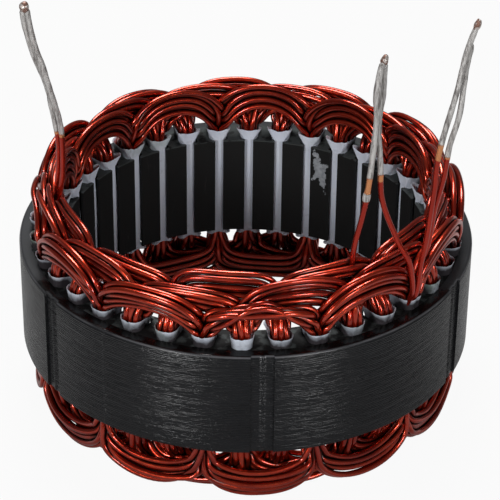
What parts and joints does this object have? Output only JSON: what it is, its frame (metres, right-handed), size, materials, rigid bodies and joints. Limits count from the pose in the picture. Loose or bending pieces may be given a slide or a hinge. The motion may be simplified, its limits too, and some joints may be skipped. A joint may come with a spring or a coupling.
{
  "type": "wound stator",
  "caption": "Wound alternator stator: slotted black lamination ring, paper slot liners, red enamelled wave windings at both ends and three tinned lead pairs.",
  "frame": {"origin": "on the bore's axis, at the level of the lower end turns that it stands on", "axes": "+Z along the bore's axis, up towards the lead wires; +Y through the middle of a slot"},
  "size_m": [0.128, 0.128, 0.1311],
  "materials": {
    "core": "black semi-gloss paint over laminations",
    "liner": "matte pale grey insulating paper",
    "winding": "glossy red-brown wire enamel",
    "lead": "streaky tinned wire",
    "tip": "dull fused copper"
  },
  "bodies": {
    "root": {"lamination_stack": "core", "slot_liner_00": "liner", "slot_liner_01": "liner", "slot_liner_02": "liner", "slot_liner_03": "liner", "slot_liner_04": "liner", "slot_liner_05": "liner", "slot_liner_06": "liner", "slot_liner_07": "liner", "slot_liner_08": "liner", "slot_liner_09": "liner", "slot_liner_10": "liner", "slot_liner_11": "liner", "slot_liner_12": "liner", "slot_liner_13": "liner", "slot_liner_14": "liner", "slot_liner_15": "liner", "slot_liner_16": "liner", "slot_liner_17": "liner", "slot_liner_18": "liner", "slot_liner_19": "liner", "slot_liner_20": "liner", "slot_liner_21": "liner", "slot_liner_22": "liner", "slot_liner_23": "liner", "slot_liner_24": "liner", "slot_liner_25": "liner", "slot_liner_26": "liner", "slot_liner_27": "liner", "slot_liner_28": "liner", "slot_liner_29": "liner", "slot_liner_30": "liner", "slot_liner_31": "liner", "slot_liner_32": "liner", "slot_liner_33": "liner", "slot_liner_34": "liner", "slot_liner_35": "liner", "phase_u_wave_a": "winding", "phase_u_wave_b": "winding", "phase_v_wave_a": "winding", "phase_v_wave_b": "winding", "phase_w_wave_a": "winding", "phase_w_wave_b": "winding", "lead_right_a": "lead", "lead_right_b": "lead", "lead_middle_a": "lead", "lead_middle_b": "lead", "lead_left_a": "lead", "lead_left_b": "lead", "lead_tip_right": "tip", "lead_tip_middle": "tip", "lead_tip_left": "tip"}
  },
  "joints": []
}
